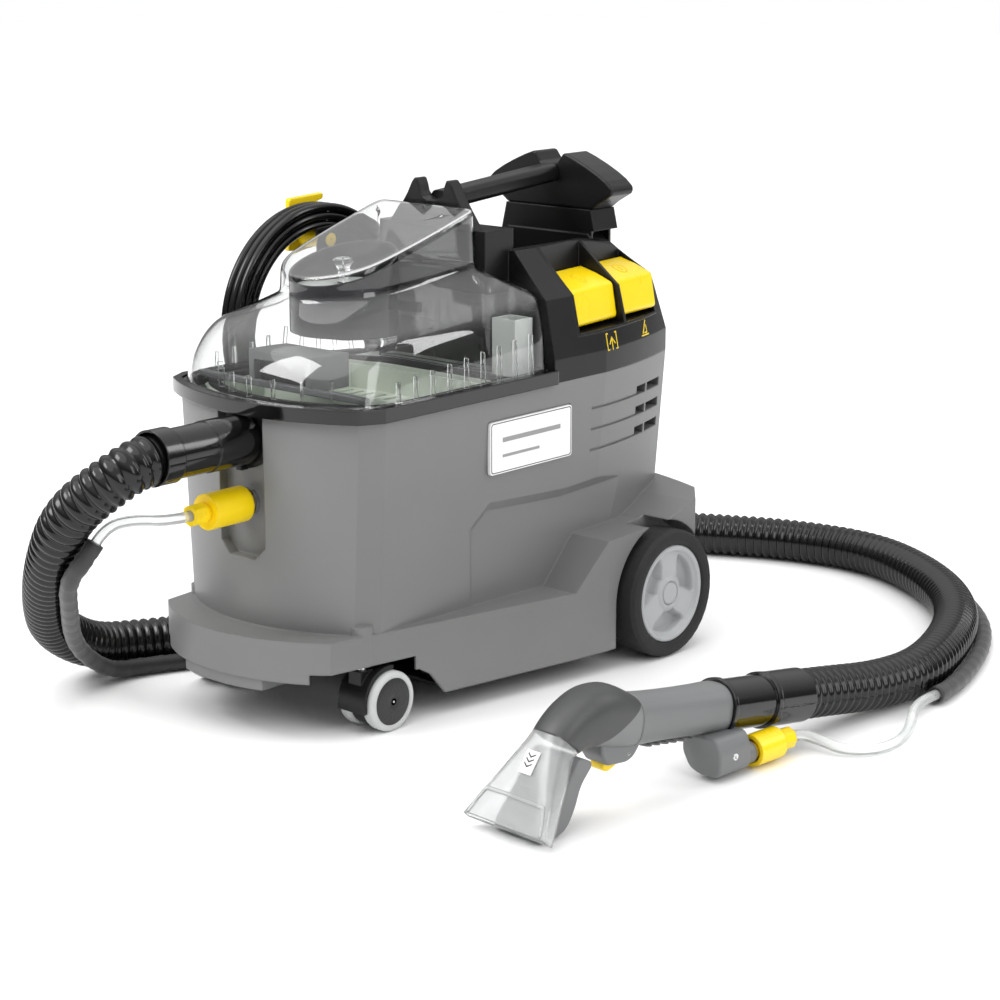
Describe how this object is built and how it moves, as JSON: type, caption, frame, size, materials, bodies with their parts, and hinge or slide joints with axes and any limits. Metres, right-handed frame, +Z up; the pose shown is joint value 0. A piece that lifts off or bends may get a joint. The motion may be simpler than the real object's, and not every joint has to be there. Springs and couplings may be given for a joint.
{
  "type": "spot extractor",
  "caption": "Wheeled spray-extraction cleaner with a clear domed lid, rear housing with carrying bar and rocker switches, cable hook, suction hose with spray line and a hand tool.",
  "frame": {"origin": "on the floor under the middle of the machine, on its centre plane", "axes": "+Z up, -Y towards the nose with the hose port, +X towards the side with the switches and the label"},
  "size_m": [0.6941, 0.9298, 0.443],
  "materials": {
    "body_grey": "satin moulded grey",
    "black_satin": "satin black",
    "black_gloss": "glossy black",
    "yellow": "semi-gloss yellow",
    "clear": "clear polycarbonate",
    "white_plastic": "translucent white",
    "tool_grey": "satin grey",
    "hub_grey": "satin light grey",
    "tyre_rubber": "matt soft tread",
    "hose_black": "glossy corrugated",
    "sleeve_black": "dull sleeve",
    "hose_clear": "clear soft hose",
    "steel": "bright steel",
    "dark_metal": "dark mirror",
    "seal": "matt seal",
    "aluminium": "cast aluminium",
    "label_white": "printed plate"
  },
  "bodies": {
    "chassis": {"air_duct": "black_satin", "body_shell": "body_grey", "cable_gland": "seal", "coupling_core_machine": "yellow", "coupling_core_tool": "yellow", "fresh_tank": "white_plastic", "front_saddle": "black_satin", "handle_bar": "black_satin", "hose_cuff": "black_gloss", "hose_sleeve": "sleeve_black", "label_plate": "label_white", "mains_coil": "hose_black", "mains_lead": "hose_black", "mains_plug": "hose_black", "motor_housing": "aluminium", "nozzle": "clear", "nozzle_back": "tool_grey", "pan_screws": "steel", "port_socket": "black_satin", "pump": "black_satin", "pump_line": "hose_clear", "rear_axle": "steel", "rear_housing": "black_satin", "rear_saddle": "black_satin", "rim_band": "black_gloss", "small_pins": "steel", "spray_hose": "hose_clear", "spray_socket": "steel", "suction_hose": "hose_black", "switch_panel": "black_satin", "tool_cuff": "black_gloss", "tool_handle": "tool_grey", "tool_neck": "tool_grey", "tool_sleeve": "black_gloss", "underside_pan": "black_satin", "valve_block": "tool_grey"},
    "tank": {"waste_tank": "white_plastic", "fluff_filter": "white_plastic"},
    "lid_group": {"lid": "clear", "lid_gasket": "seal", "suction_tower": "dark_metal", "deflector": "tool_grey"},
    "float": {"float_disc": "white_plastic"},
    "rocker_suction_key": {"rocker_suction": "yellow"},
    "rocker_spray_key": {"rocker_spray": "yellow"},
    "wheel_right": {"tyre_right": "tyre_rubber", "rim_right": "hub_grey"},
    "wheel_left": {"tyre_left": "tyre_rubber", "rim_left": "hub_grey"},
    "caster_right": {"caster_hood_right": "black_satin", "caster_pins_right": "steel"},
    "caster_left": {"caster_hood_left": "black_satin", "caster_pins_left": "steel"},
    "caster_wheel_right": {"caster_wheels_right": "tool_grey"},
    "caster_wheel_left": {"caster_wheels_left": "tool_grey"},
    "hook": {"cable_hook": "yellow"},
    "fan": {"impeller": "white_plastic"},
    "collar_machine": {"coupling_collar_machine": "yellow"},
    "collar_tool": {"coupling_collar_tool": "yellow"},
    "trigger_key": {"trigger": "yellow"}
  },
  "joints": [
    {"name": "tank_lift", "type": "slide", "parent": "chassis", "child": "tank", "axis": [0, 0, 1], "range_m": [0, 0.2]},
    {"name": "lid_lift", "type": "slide", "parent": "tank", "child": "lid_group", "axis": [0, 0, 1], "range_m": [0, 0.1]},
    {"name": "float_rise", "type": "slide", "parent": "lid_group", "child": "float", "axis": [0, 0, 1], "range_m": [0, 0.018]},
    {"name": "suction_switch", "type": "hinge", "parent": "chassis", "child": "rocker_suction_key", "pos_m": [0.07402, 0.18027, 0.328], "axis": [-0.134, 0.991, 0], "range_deg": [0, 12]},
    {"name": "spray_switch", "type": "hinge", "parent": "chassis", "child": "rocker_spray_key", "pos_m": [0.0836, 0.10942, 0.328], "axis": [-0.134, 0.991, 0], "range_deg": [0, 12]},
    {"name": "wheel_right_spin", "type": "hinge", "parent": "chassis", "child": "wheel_right", "pos_m": [0.145, 0.152, 0.0586], "axis": [1, 0, 0], "continuous": true},
    {"name": "wheel_left_spin", "type": "hinge", "parent": "chassis", "child": "wheel_left", "pos_m": [-0.145, 0.152, 0.0586], "axis": [1, 0, 0], "continuous": true},
    {"name": "caster_right_swivel", "type": "hinge", "parent": "chassis", "child": "caster_right", "pos_m": [0.094, -0.182, 0.06], "axis": [0, 0, 1], "continuous": true},
    {"name": "caster_left_swivel", "type": "hinge", "parent": "chassis", "child": "caster_left", "pos_m": [-0.094, -0.182, 0.06], "axis": [0, 0, 1], "continuous": true},
    {"name": "caster_right_roll", "type": "hinge", "parent": "caster_right", "child": "caster_wheel_right", "pos_m": [0.094, -0.164, 0.0255], "axis": [1, 0, 0], "continuous": true},
    {"name": "caster_left_roll", "type": "hinge", "parent": "caster_left", "child": "caster_wheel_left", "pos_m": [-0.094, -0.164, 0.0255], "axis": [1, 0, 0], "continuous": true},
    {"name": "hook_turn", "type": "hinge", "parent": "chassis", "child": "hook", "pos_m": [-0.115, -0.002, 0.369], "axis": [1, 0, 0], "range_deg": [0, 180]},
    {"name": "fan_spin", "type": "hinge", "parent": "chassis", "child": "fan", "pos_m": [0, 0.16, 0.12], "axis": [0, 0, 1], "continuous": true},
    {"name": "collar_machine_pull", "type": "slide", "parent": "chassis", "child": "collar_machine", "axis": [0, -1, 0], "range_m": [0, 0.003], "stiffness_N_per_m": 600},
    {"name": "collar_tool_pull", "type": "slide", "parent": "chassis", "child": "collar_tool", "axis": [0.0837, 0.9965, 0], "range_m": [0, 0.003], "stiffness_N_per_m": 600},
    {"name": "trigger_squeeze", "type": "hinge", "parent": "chassis", "child": "trigger_key", "pos_m": [0.35521, -0.17243, 0.042], "axis": [-0.9965, 0.0837, 0], "range_deg": [0, 10], "stiffness_Nm_per_rad": 0.6}
  ]
}
